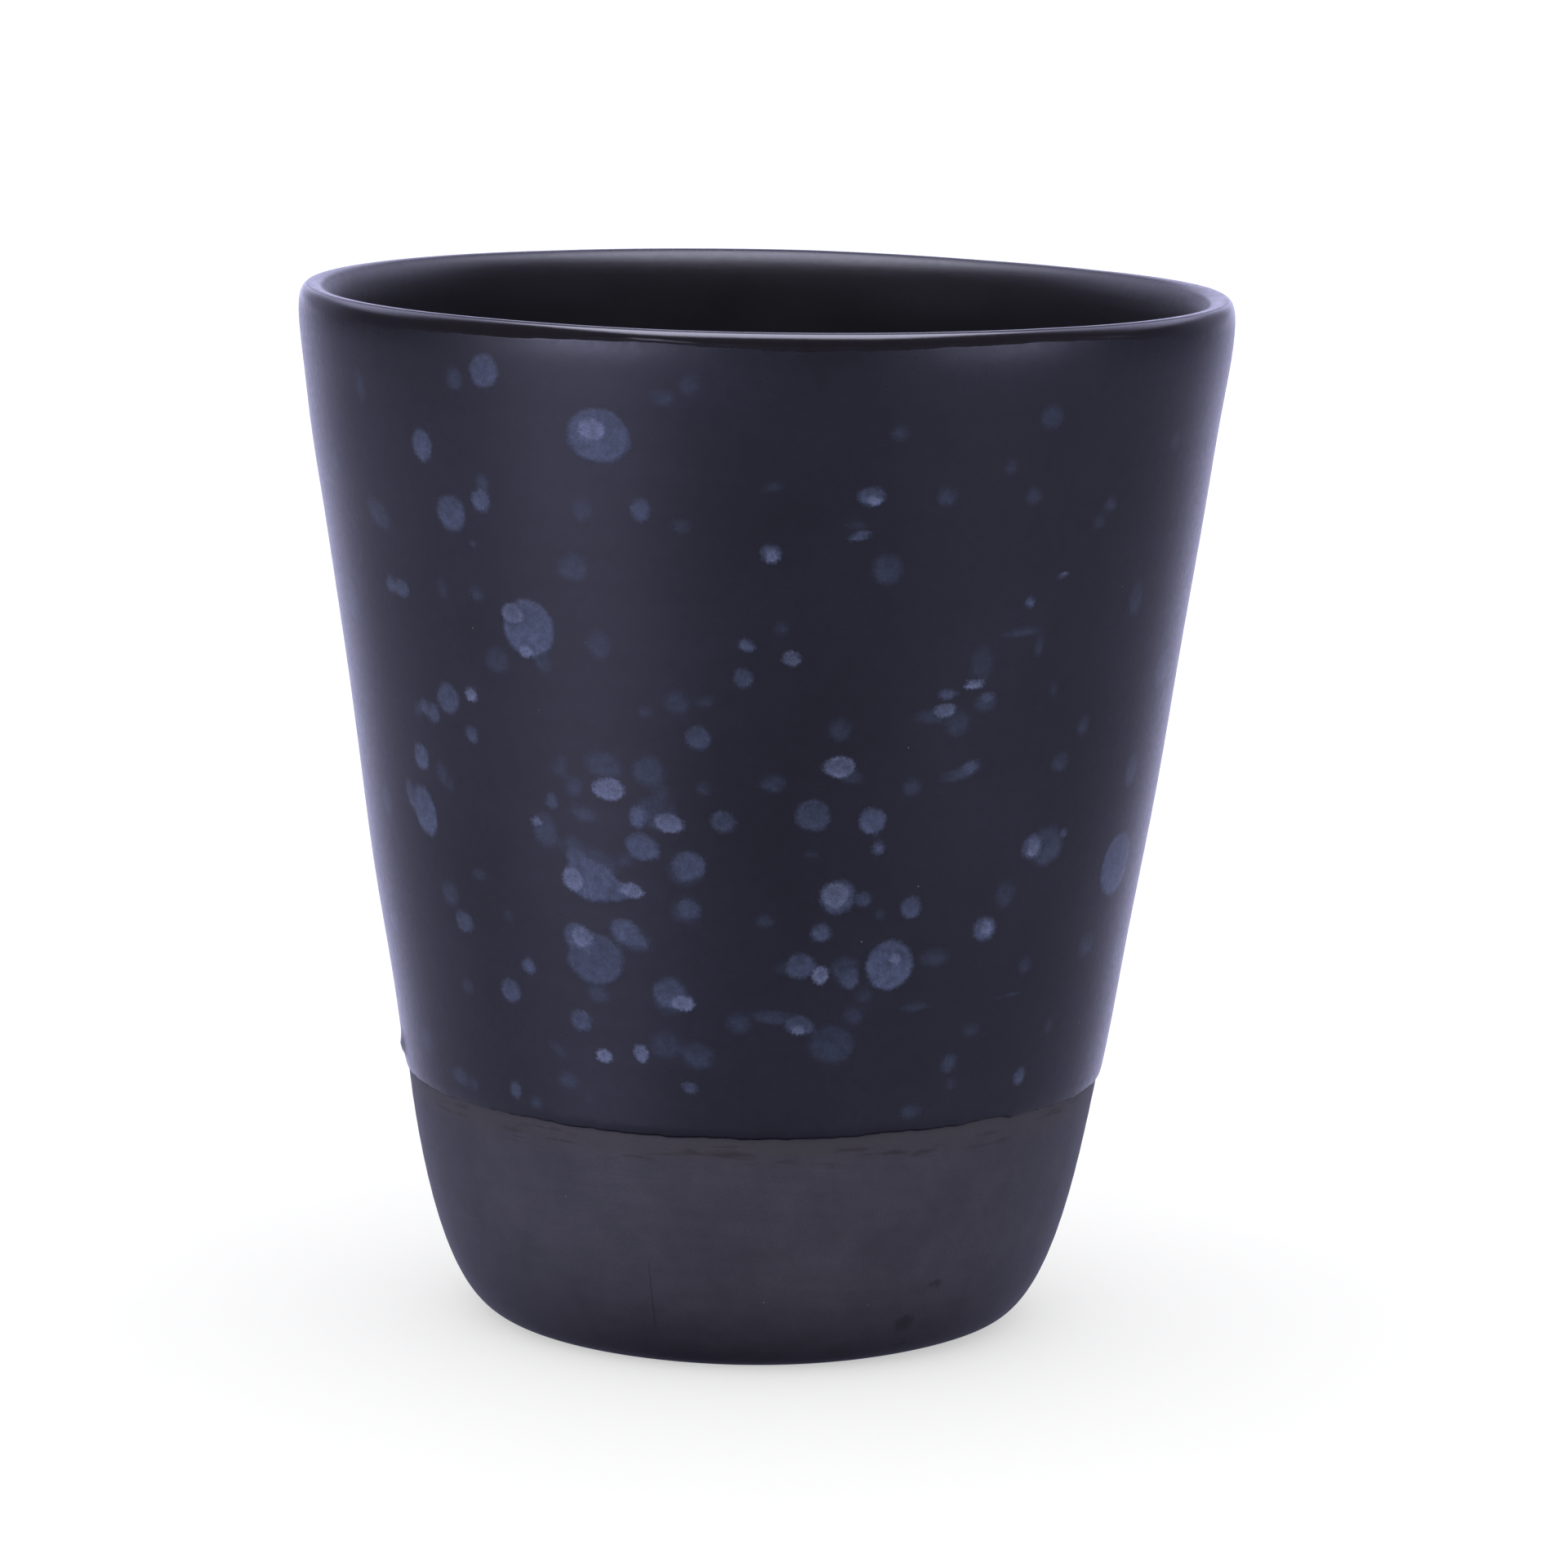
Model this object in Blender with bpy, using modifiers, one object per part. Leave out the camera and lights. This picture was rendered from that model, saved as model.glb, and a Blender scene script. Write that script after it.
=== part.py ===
"""A handleless stoneware mug, built as it is made: a turned clay body, a coat of glaze outside
that stops short of the foot, and a liner glaze inside.

Units are metres, +Z is up. The origin is the centre of the base circle, on the plane that the
mug stands on, and +Z is the turning axis. Every solid is one profile, turned about that axis.
"""

from math import cos, pi, radians, sin

import bpy
from mathutils import Vector
from mathutils.geometry import interpolate_bezier

MM = 0.001

# Outside of the mug
HEIGHT = 100.0 * MM  # table to the crest of the lip
BASE_RADIUS = 24.4 * MM  # where the foot leaves the table
GLAZE_LINE_HEIGHT = 24.2 * MM
GLAZE_LINE_RADIUS = 33.95 * MM  # outer face of the glaze at its lower edge
GLAZE_STEP = 0.3 * MM  # how far that face stands proud of the bare clay under it
KNEE_HEIGHT = 44.0 * MM  # below this the wall draws in a little faster
KNEE_RADIUS = 37.25 * MM
WALL_SLOPE = 0.147  # above it, outward travel of the wall for each unit of height
WALL_THICKNESS = 3.9 * MM  # clay and both coats together

# Lip: one curve outside and one inside, which meet at the crest
CREST_RADIUS = 43.8 * MM
LIP_HEIGHT = 92.2 * MM  # where the outside starts to round over
LIP_HANDLE = 4.4 * MM
LIP_CREST_HANDLE = 1.7 * MM
INNER_LIP_HEIGHT = 96.0 * MM
INNER_LIP_HANDLE = 2.0 * MM
INNER_CREST_HANDLE = 1.8 * MM

# Foot: a curve from the glaze line down to the base circle
FOOT_TOP_HANDLE = 10.0 * MM
FOOT_BASE_HANDLE = 5.3 * MM
FOOT_BASE_ANGLE = radians(14.0)  # how steeply the foot rises off the table

# Underside: a flat ring to stand on, around a shallow recess
RING_INNER_RADIUS = 19.4 * MM
RECESS_DEPTH = 1.8 * MM
RECESS_CORNER = 1.4 * MM  # run of the slope between the ring and the recess

# Inside: a flat floor that curves up into the wall
FLOOR_HEIGHT = 6.0 * MM
FLOOR_HANDLE = 26.0 * MM
FLOOR_WALL_HANDLE = 15.0 * MM

# Coats of glaze
COAT = 0.4 * MM
GAP = 0.3 * MM  # clearance between a coat and the clay that carries it
MEETING_GAP = 0.4 * MM  # from the crest, where the liner ends, to the edge of the outer coat

# How finely the curves are drawn
TURN_STEPS = 72
CURVE_POINTS = 9

CREST = Vector((CREST_RADIUS, HEIGHT))
WALL_RUN = Vector((WALL_SLOPE, 1.0)).normalized()
SEAT_DEPTH = COAT + GAP  # how far the clay lies under a glazed face
LEDGE_HEIGHT = GLAZE_LINE_HEIGHT - GAP  # top of the bare foot, just under the coat
LEDGE_RADIUS = GLAZE_LINE_RADIUS - GLAZE_STEP - WALL_SLOPE * GAP


def clear_scene():
    for obj in list(bpy.data.objects):
        bpy.data.objects.remove(obj, do_unlink=True)


def outer_wall_radius(height):
    """Radius of the glazed outer face of the straight wall."""
    return KNEE_RADIUS + WALL_SLOPE * (height - KNEE_HEIGHT)


def outer_lip_points():
    """Glazed face from the crest outwards and down to the straight wall."""
    wall_top = Vector((outer_wall_radius(LIP_HEIGHT), LIP_HEIGHT))
    crest_handle = CREST + Vector((LIP_CREST_HANDLE, 0.0))
    wall_handle = wall_top + WALL_RUN * LIP_HANDLE
    return list(interpolate_bezier(CREST, crest_handle, wall_handle, wall_top, CURVE_POINTS))


def inner_lip_points():
    """Glazed face from the straight inner wall up to the crest."""
    inner_radius = outer_wall_radius(INNER_LIP_HEIGHT) - WALL_THICKNESS
    wall_top = Vector((inner_radius, INNER_LIP_HEIGHT))
    crest_handle = CREST - Vector((INNER_CREST_HANDLE, 0.0))
    wall_handle = wall_top + WALL_RUN * INNER_LIP_HANDLE
    return list(interpolate_bezier(wall_top, wall_handle, crest_handle, CREST, CURVE_POINTS))


def inside_points():
    """Glazed face of the inside, from the middle of the floor out and up to the lip's foot."""
    bend_height = GLAZE_LINE_HEIGHT
    bend = Vector((outer_wall_radius(bend_height) - WALL_THICKNESS, bend_height))
    floor_middle = Vector((0.0, FLOOR_HEIGHT))
    floor_handle = floor_middle + Vector((FLOOR_HANDLE, 0.0))
    wall_handle = bend - WALL_RUN * FLOOR_WALL_HANDLE
    return list(interpolate_bezier(floor_middle, floor_handle, wall_handle, bend, CURVE_POINTS))


def foot_points():
    """Bare outer face of the foot, from under the coat down to the base circle."""
    top = Vector((LEDGE_RADIUS, LEDGE_HEIGHT))
    base = Vector((BASE_RADIUS, 0.0))
    base_run = Vector((cos(FOOT_BASE_ANGLE), sin(FOOT_BASE_ANGLE)))
    top_handle = top - WALL_RUN * FOOT_TOP_HANDLE
    base_handle = base + base_run * FOOT_BASE_HANDLE
    return list(interpolate_bezier(top, top_handle, base_handle, base, CURVE_POINTS))


def underside_points():
    """The flat ring and the recess inside it, inwards to the axis."""
    return [
        Vector((RING_INNER_RADIUS, 0.0)),
        Vector((RING_INNER_RADIUS - 0.3 * RECESS_CORNER, 0.7 * RECESS_DEPTH)),
        Vector((RING_INNER_RADIUS - RECESS_CORNER, RECESS_DEPTH)),
        Vector((0.0, RECESS_DEPTH)),
    ]


def sunk(points, depth):
    """The same line, moved by depth into the material on its right-hand side."""
    moved = []
    for i, point in enumerate(points):
        before = points[max(i - 1, 0)]
        after = points[min(i + 1, len(points) - 1)]
        run = (after - before).normalized()
        moved.append(point + Vector((run.y, -run.x)) * depth)
    return moved


def clay_profile():
    """Closed by the axis: up the inside, over the lip, down the outside and under the foot."""
    knee = Vector((KNEE_RADIUS, KNEE_HEIGHT))
    glaze_line = Vector((GLAZE_LINE_RADIUS, GLAZE_LINE_HEIGHT))
    down_run = (glaze_line - knee).normalized()
    seat_end = glaze_line + down_run * GAP
    glazed = inside_points() + inner_lip_points() + outer_lip_points()[1:] + [knee, seat_end]
    seat = sunk(glazed, SEAT_DEPTH)
    seat[0].x = 0.0
    seat[-1].y = LEDGE_HEIGHT
    return seat + foot_points() + underside_points()


def outer_coat_profile():
    """Glazed face from just outside the crest down the outside to the glaze line."""
    upper_edge = CREST + Vector((MEETING_GAP, 0.0))
    knee = Vector((KNEE_RADIUS, KNEE_HEIGHT))
    glaze_line = Vector((GLAZE_LINE_RADIUS, GLAZE_LINE_HEIGHT))
    return [upper_edge] + outer_lip_points()[1:] + [knee, glaze_line]


def liner_profile():
    """Glazed face from the middle of the floor up the inside to the crest of the lip."""
    return inside_points() + inner_lip_points()


def material(name, colour, roughness):
    made = bpy.data.materials.new(name)
    made.use_nodes = True
    shader = made.node_tree.nodes["Principled BSDF"]
    shader.inputs["Base Color"].default_value = (*colour, 1.0)
    shader.inputs["Roughness"].default_value = roughness
    shader.inputs["Metallic"].default_value = 0.0
    return made


def turned(name, profile, surface, collection):
    """One solid or one open face, turned from its profile about the Z axis."""
    mesh = bpy.data.meshes.new(name)
    vertices = [(point.x, 0.0, point.y) for point in profile]
    edges = [(i, i + 1) for i in range(len(profile) - 1)]
    mesh.from_pydata(vertices, edges, [])
    mesh.materials.append(surface)
    obj = bpy.data.objects.new(name, mesh)
    collection.objects.link(obj)
    screw = obj.modifiers.new("turn", "SCREW")
    screw.axis = "Z"
    screw.angle = 2.0 * pi
    screw.steps = TURN_STEPS
    screw.render_steps = TURN_STEPS
    screw.use_merge_vertices = True
    screw.merge_threshold = 0.01 * MM
    screw.use_smooth_shade = True
    return obj


def thicken(obj, thickness):
    """Gives an open turned face its thickness, into the material behind it."""
    shell = obj.modifiers.new("coat", "SOLIDIFY")
    shell.thickness = thickness
    shell.offset = -1.0
    shell.use_even_offset = True


def build():
    clear_scene()
    mug = bpy.data.collections.new("ceramic_mug")
    bpy.context.scene.collection.children.link(mug)

    bare_clay = material("bare_clay", (0.050, 0.045, 0.058), 0.62)
    turned("clay_body", clay_profile(), bare_clay, mug)

    blue_black_glaze = material("blue_black_glaze", (0.022, 0.021, 0.035), 0.34)
    outer_glaze = turned("outer_glaze", outer_coat_profile(), blue_black_glaze, mug)
    thicken(outer_glaze, COAT)

    black_glaze = material("black_glaze", (0.011, 0.010, 0.013), 0.30)
    inner_glaze = turned("inner_glaze", liner_profile(), black_glaze, mug)
    thicken(inner_glaze, COAT)


build()
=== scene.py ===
"""Looks for the handleless stoneware mug: three fine skins over the CAD solids, their materials,
a pale floor, soft studio light and the camera.

Azimuths are in degrees round the mug, 0 at the front (-Y) and positive towards +X. Heights and
sizes in the tables are millimetres. Everything Blender gets is in metres.
"""

from math import cos, pi, radians, sin

import bmesh
import bpy
import numpy as np
from mathutils import Matrix, Vector


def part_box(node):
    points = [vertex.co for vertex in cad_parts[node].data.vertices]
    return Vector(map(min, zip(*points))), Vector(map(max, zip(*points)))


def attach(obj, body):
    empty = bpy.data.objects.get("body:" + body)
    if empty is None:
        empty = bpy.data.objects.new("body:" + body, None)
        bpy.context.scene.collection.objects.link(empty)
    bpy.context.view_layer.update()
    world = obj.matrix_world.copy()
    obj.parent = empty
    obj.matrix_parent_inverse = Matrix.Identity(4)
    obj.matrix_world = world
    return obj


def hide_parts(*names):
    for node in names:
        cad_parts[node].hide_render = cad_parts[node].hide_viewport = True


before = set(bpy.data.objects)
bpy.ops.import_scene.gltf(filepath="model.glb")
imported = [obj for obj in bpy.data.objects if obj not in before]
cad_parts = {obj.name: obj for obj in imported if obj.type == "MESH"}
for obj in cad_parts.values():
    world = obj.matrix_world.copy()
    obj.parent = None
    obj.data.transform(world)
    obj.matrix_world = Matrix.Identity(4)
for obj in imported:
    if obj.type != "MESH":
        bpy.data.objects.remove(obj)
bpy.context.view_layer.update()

MM = 0.001

# ---------------------------------------------------------------- sizes, in millimetres

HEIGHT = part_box("inner_glaze")[1].z / MM
GLAZE_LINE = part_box("outer_glaze")[0].z / MM
GLAZE_LINE_RADIUS = 33.95
GLAZE_STEP = 0.3  # how far the coat stands proud of the clay
GAP = 0.3  # from the coat's lower edge down to the top of the bare foot
COAT_TAPER = 0.08  # how much thinner the coat has run just above its edge
TAPER_REACH = 0.6
EDGE_REACH = 1.7  # how far up from the edge its closer rows of vertices go
EDGE_ROLL = 0.2  # how high the coat's rounded edge is
KNEE = 44.0  # height below which the wall draws in a little faster
KNEE_RADIUS = 37.25
KNEE_SOFTNESS = 2.0
WALL_SLOPE = 0.147
WALL_THICKNESS = 3.9
WALL_RUN = np.array((WALL_SLOPE, 1.0)) / np.hypot(WALL_SLOPE, 1.0)

CREST_RADIUS = 43.8
LIP_START = 92.2
LIP_HANDLE = 4.4
LIP_CREST_HANDLE = 1.7
INNER_LIP_START = 96.0
INNER_LIP_HANDLE = 2.0
INNER_CREST_HANDLE = 1.8
# Where the coats meet, as shares of the lip's outer curve, and how each edge is rounded over:
# (steps along that curve, millimetres sunk)
LINER_STOPS = 0.078
COAT_STARTS = 0.080
LINER_ROUNDING = ((-0.003, 0.01), (0.002, 0.08), (0.004, 0.25))
COAT_ROUNDING = ((-0.004, 0.25), (-0.002, 0.08), (0.003, 0.01))

BASE_RADIUS = 24.4
FOOT_TOP_HANDLE = 10.0
FOOT_BASE_HANDLE = 5.3
FOOT_BASE_ANGLE = radians(14.0)
RING_INNER_RADIUS = 19.4
RING_ROUNDING = 0.35
RECESS_DEPTH = 1.8
RECESS_CORNER = 1.3  # run of the curve from the recess's side to its flat middle
RECESS_SIDE = 0.5  # height where that curve starts
FLOOR_HEIGHT = 6.0
FLOOR_HANDLE = 26.0
FLOOR_WALL_HANDLE = 15.0

# How far the hidden faces of the skins lie inside what shows
COAT_BACK = GLAZE_STEP + 0.12
CLAY_UNDER_LINER = 0.2
CLAY_UNDER_LIP = 0.25
LINER_BACK = 0.3

# ---------------------------------------------------------------- hand-made irregularity

# How high the glaze line wanders: (azimuth, millimetres above GLAZE_LINE)
GLAZE_LINE_WANDER = [
    (-150, 0.2), (-115, 0.05), (-90, -0.05), (-60, -0.15), (-40, -0.12), (-20, -0.3), (-8, -0.2),
    (8, -0.12), (14, -0.1), (19, 0.18), (30, 0.2), (36, 0.26), (40, 0.45), (44, 0.42), (46, 0.2),
    (49, 0.38), (60, 0.3), (80, 0.33), (110, 0.0), (150, 0.0),
]
# Its ragged teeth, as waves: (how many round the mug, millimetres)
GLAZE_LINE_TEETH = ((23, 0.035), (37, 0.03), (61, 0.028), (97, 0.024), (151, 0.02))
GLAZE_LINE_SEED = 7
# How high the lip wanders: (azimuth, millimetres above its mean crest)
LIP_WANDER = [
    (-150, -0.17), (-120, -0.1), (-90, 0.0), (-60, 0.1), (-35, 0.23), (-12, 0.24), (2, 0.3),
    (12, 0.34), (24, 0.39), (35, 0.41), (55, 0.35), (80, 0.23), (103, 0.2), (116, 0.06),
    (132, -0.13), (150, -0.21), (175, -0.07),
]
WANDER_START = 76.0  # height where the wall begins to follow the lip's wander
WANDER_REACH = 20.0
# Broad swells of the wall: (azimuth, height, outward, half width in degrees, half height)
SWELLS = [
    (-88, 86, 0.16, 45, 6), (-88, 61, -0.18, 50, 13), (-88, 32, -0.2, 50, 9),
    (88, 88, -0.12, 45, 7), (88, 98, -0.12, 45, 3), (88, 54, 0.17, 50, 10), (88, 29, 0.17, 50, 8),
    (175, 60, -0.15, 50, 18), (-150, 82, 0.12, 45, 10), (150, 36, -0.1, 40, 10),
]
LOBES = 0.015  # three faint bulges round the mug
# Turning rings
WALL_RINGS = 0.003
FOOT_RINGS = 0.006
INSIDE_RINGS = 0.03
RECESS_RINGS = 0.04
# The lip was wiped: how far below the crest the full coat starts: (azimuth, millimetres)
WIPED_EDGE = [
    (-160, 1.4), (-120, 1.3), (-85, 1.5), (-60, 1.6), (-45, 1.55), (-34, 1.45), (-20, 1.15),
    (-12, 1.05), (-3, 1.3), (3, 1.5), (12, 1.5), (17, 1.4), (22, 1.2), (35, 1.1), (50, 1.3),
    (80, 1.4), (120, 1.3), (150, 1.5),
]
WIPED_TEETH = ((13, 0.045), (31, 0.03), (59, 0.022), (97, 0.02), (151, 0.015))
WIPED_SEED = 19
WIPED_RIDGE = 0.08  # how far the coat's edge stands out there
RIDGE_BELOW = 0.5
RIDGE_ABOVE = 0.35
WIPED_MIDDLE = 4.0  # azimuth in the middle of the crisp part of that edge
CRISP_ENDS = (39.0, 53.0)  # degrees from there over which it goes soft
CRISP_AGAIN = (130.0, 150.0)  # and crisp again at the back
WIPED_SOFT = 0.12  # how crisp the edge is at the sides
# The base's edge rises to the right of the front
FOOT_LIFT = 0.3
FOOT_LIFT_AZIMUTH = 50.0
FOOT_LIFT_SPREAD = 32.0  # degrees
FOOT_LIFT_REACH = 7.0  # millimetres up the foot
# Beads of glaze that ran and stopped: (azimuth, height, outward, width, height)
DRIPS = [(-81, 26.2, 0.36, 1.3, 1.1), (158, 25.6, 0.35, 1.6, 1.1), (121, 27.5, 0.2, 1.0, 1.6)]
DRIP_TUCK = 1.8  # how many times faster a bead ends below its middle than above it

# ---------------------------------------------------------------- spatters

# Each spatter is (azimuth, height, width, tall), with a lean in degrees for some and then its
# own strength for a few.
# The three lists differ in how strongly the second glaze shows.
FAINT = [
    (-39.5, 94.4, 1.6, 1.9), (-58, 92.5, 1.6, 2.8, 8), (-36.5, 85.0, 1.4, 1.4),
    (-57, 80.5, 4.0, 2.2, -25), (-69, 84.5, 2.0, 1.8), (-22.5, 83.5, 1.8, 2.1), (-24, 78, 2.7, 2.5),
    (-45, 74.5, 1.0, 1.5), (-39, 74.6, 1.6, 1.2), (-70, 71, 3.4, 3.8), (-36.3, 68.5, 2.6, 2.2),
    (-29, 68.8, 1.6, 1.7), (-21, 71, 2.1, 2.5), (-53, 62.3, 1.2, 1.5), (-47.5, 55.7, 0.9, 1.0),
    (-49, 56.6, 1.4, 2.0, 15), (-30.5, 52.8, 2.5, 3.1, 20), (-27.4, 59.1, 1.7, 1.7),
    (-25.6, 57.2, 1.5, 1.7), (-21, 59.6, 3.4, 2.3, -15), (-14.6, 59.3, 2.9, 2.9, -20),
    (-13, 57.5, 1.5, 1.2), (-13.6, 55.3, 3.9, 2.9, -15), (-9.5, 50.2, 3.4, 2.9, 20),
    (-9.6, 46.2, 2.9, 2.3, -10), (-22.8, 50.3, 4.6, 2.4, -15), (-26.2, 51.5, 2.2, 2.1),
    (-18.5, 50.7, 1.2, 1.1), (-10.7, 66, 2.2, 2.0), (-7, 66.2, 1.7, 1.0, 10), (2, 58.5, 2.0, 1.2),
    (-7.2, 58, 1.2, 1.0), (-24.3, 54.8, 2.4, 1.2, -10), (-9, 95.3, 1.8, 1.9), (-12, 94, 2.0, 1.4),
    (-10, 82.4, 1.4, 1.0), (1, 86.3, 2.0, 0.9, 15), (11.5, 82.8, 1.5, 0.8), (15.5, 78.8, 2.8, 2.7),
    (16, 91, 1.5, 1.2), (36, 92, 2.5, 2.0), (30.8, 87.7, 1.1, 1.2), (22.5, 85.2, 1.7, 1.6),
    (34.7, 84.9, 1.6, 1.3), (48, 83.5, 1.4, 1.2), (46.5, 82, 1.3, 1.0), (2.6, 73.2, 1.1, 1.0),
    (10.7, 63.7, 1.9, 2.0), (12.3, 59.4, 2.6, 1.4, -20), (2.3, 58.7, 1.9, 1.6), (7.6, 52, 0.9, 0.7),
    (21, 58.2, 1.6, 1.6), (28.2, 59.2, 4.2, 1.2, 14), (26.9, 64, 2.5, 2.5), (23, 64.8, 3.0, 1.2),
    (29.6, 69.5, 2.2, 3.1), (30.8, 65.8, 2.2, 1.5), (35.5, 72.3, 4.4, 0.8, 4),
    (38.5, 70.8, 0.9, 1.5), (42, 66.5, 0.9, 1.3), (49, 62.5, 1.4, 1.8), (45.2, 59.3, 2.0, 1.6),
    (44.8, 51.2, 4.4, 3.6, 0, 1.35), (38, 47, 2.1, 2.2), (44, 39.7, 1.3, 1.3), (59, 40.3, 2.5, 2.3),
    (-50, 45, 2.3, 2.2), (-43, 47.4, 1.4, 0.9), (-18, 43.4, 4.0, 2.5, -25), (-23.5, 37.5, 1.9, 1.6),
    (-48.5, 36, 1.2, 1.3), (-13, 33, 2.9, 2.4), (-8.2, 32.2, 2.8, 2.4, -15), (-12, 38, 3.4, 3.7),
    (-31, 31.5, 1.9, 0.8, -35), (-29.5, 28.6, 2.0, 1.4), (-36, 25.9, 1.3, 1.1),
    (-53.5, 26.6, 2.6, 1.5, -10), (-50, 26.3, 1.2, 1.2), (-26, 27, 0.7, 0.6), (-2, 35.6, 2.2, 2.1),
    (3.4, 36.1, 4.6, 1.3, -6), (1.5, 45.5, 1.6, 1.1), (6.0, 41.0, 3.4, 1.6), (13.3, 40.8, 2.4, 2.4),
    (27, 41.5, 2.9, 1.7), (24.5, 36.8, 2.6, 0.9, 4), (16.5, 38.2, 1.4, 1.4), (15, 36.2, 1.9, 1.6),
    (12, 33.5, 4.1, 3.7), (31.5, 30.9, 1.5, 1.5, 0, 1.5), (32.6, 28.8, 0.7, 0.7),
    (25.5, 26.4, 1.8, 1.2), (35, 34, 1.6, 1.2), (40.5, 36.8, 5.2, 0.4, 7), (57, 74, 2.2, 3.0),
    (70, 66, 3.6, 3.4), (64, 57, 2.4, 3.0), (74, 38, 3.2, 3.0), (61, 88.5, 1.8, 1.4),
    (-76, 58, 4.0, 3.2), (-66, 52, 2.0, 2.6), (-71, 40, 2.6, 2.4), (-64, 29, 2.6, 2.2),
    (-38, 44, 1.0, 0.9), (-15, 65, 0.9, 0.8), (18, 46, 0.9, 0.8), (52, 33, 1.0, 1.2),
]
CLEAR = [
    (-35, 95.3, 3.0, 3.1), (-46, 87.8, 2.7, 2.9, 10), (-20, 90.2, 6.1, 4.9, 0, 1.0),
    (-36.8, 83.3, 2.2, 2.0), (-42, 81.8, 3.5, 3.2), (-31, 71.8, 5.5, 5.4, -10, 1.2),
    (-56, 74, 1.5, 1.5), (-53.5, 73.8, 2.2, 1.8), (-46, 64, 2.9, 2.9, 10), (-51.5, 62.7, 1.4, 1.4),
    (-49.5, 62.3, 1.8, 2.0), (-42, 61, 1.5, 1.6, 20), (-53.5, 57.7, 2.3, 2.4, 10),
    (-54, 52.5, 3.6, 4.7, 18), (-57.5, 53.8, 1.5, 2.5, 12), (-29, 55.6, 1.3, 1.4),
    (-16.2, 54.9, 1.7, 2.1), (-4.4, 54.8, 2.3, 2.0, 0, 0.65), (-15.7, 52, 3.2, 2.5, -8),
    (-7.9, 62.7, 2.3, 2.2, 0, 0.75), (-9.2, 50.5, 3.0, 2.6, 25, 0.95),
    (-9.2, 46.3, 2.2, 1.7, -20, 0.75), (-12.3, 38.1, 2.9, 2.7), (-23.6, 48.4, 5.3, 4.0, -14),
    (-20.2, 47.5, 3.6, 1.9, 6), (-25.9, 50.6, 1.8, 1.6, 0, 0.85), (-15, 83.6, 1.8, 2.1),
    (1, 80.1, 1.8, 1.8, -20), (12, 81.8, 2.4, 0.8, 8), (13, 85.4, 2.6, 1.7), (36, 75, 1.1, 1.0),
    (-2, 68.5, 1.9, 1.8, 0, 0.75), (-1.7, 71.6, 1.5, 1.1, -20), (7.6, 55.6, 3.2, 3.0, 0, 0.7),
    (15.8, 55, 2.5, 2.3), (16.8, 52.4, 1.2, 1.3), (29.6, 59.7, 2.0, 1.1, 16),
    (25, 66.8, 1.9, 1.0, 8), (31, 66.3, 1.5, 0.8), (42, 51.3, 2.6, 2.4),
    (64.3, 47.7, 6.2, 6.0, 0, 1.2), (35, 43.8, 2.6, 2.3), (-47.3, 42.4, 2.2, 2.0),
    (-26.3, 42.8, 2.7, 2.5, -15), (-23.5, 40.8, 5.7, 4.9), (-35, 39.2, 1.5, 1.5),
    (-39, 36.5, 2.3, 2.1), (-26.5, 34.6, 2.2, 1.9, -15), (-18.4, 43.7, 3.1, 2.2, -30),
    (-16.2, 42.9, 1.3, 0.9, -35), (-40, 26.7, 1.3, 1.5), (-9.5, 29, 1.3, 1.0, -8),
    (7, 35.3, 2.6, 1.8, -6), (6.7, 41.1, 2.7, 2.4), (15.3, 47.5, 1.5, 1.5), (22.5, 46.5, 2.1, 2.1),
    (9.5, 44.3, 1.9, 1.7), (14, 39.9, 1.9, 1.9), (20, 41, 4.6, 4.8, 0, 1.3),
    (46.5, 28.5, 1.5, 1.7, -12), (11.5, 47.8, 3.5, 3.2), (48, 52.2, 1.0, 1.0),
    (-38.8, 79.2, 0.7, 0.7),
]
BRIGHT = [
    (-20.8, 90.8, 2.6, 2.0), (-33.3, 73.1, 2.5, 1.9), (-31.6, 69.6, 1.6, 1.0),
    (-41.4, 64.8, 1.5, 1.4), (-20.3, 57.3, 3.2, 2.2), (-11.9, 54.5, 2.7, 1.9, -5),
    (-17.4, 47.8, 2.3, 1.4, -8), (-26.4, 48.4, 2.0, 2.2, 15), (1.1, 79.9, 1.2, 1.2),
    (3.9, 70.4, 1.8, 1.5, 0, 0.6), (10.8, 60.2, 3.1, 1.9, 0, 0.8), (24.8, 65.3, 2.4, 1.3, 0, 0.7),
    (29, 67.6, 2.0, 1.0), (41, 77.3, 1.7, 0.6, 12), (-10.3, 37.2, 2.2, 1.5), (-23, 31.4, 1.75, 1.3),
    (-17, 32, 1.5, 1.7, 12), (11.2, 48.0, 2.6, 2.3), (20.8, 41.6, 1.3, 1.0), (9.7, 40.2, 1.6, 1.6),
    (-31.7, 53.5, 1.3, 0.9), (42.2, 51.2, 1.6, 1.9), (-25.5, 42.8, 2.0, 1.9), (6.9, 34.9, 1.5, 0.9),
    (35.2, 43.9, 1.4, 1.4), (13.4, 85.0, 1.5, 0.8),
]
# Random spatters on the side that the three lists leave out
UNSEEN_SEED = 41
UNSEEN_SPATTERS = 190
UNSEEN_FROM = 80.0  # degrees from the front where the lists end
UNSEEN_CLUSTERS = 7
SPATTER_RELIEF = (0.012, 0.015)  # how far clear and bright spatters stand proud
SPATTER_NEAR = -0.3  # a stronger spatter counts from this far outside its edge
FAR_OUTSIDE = -3.0  # stands for no spatter or stain near, in millimetres inside its edge

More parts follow.
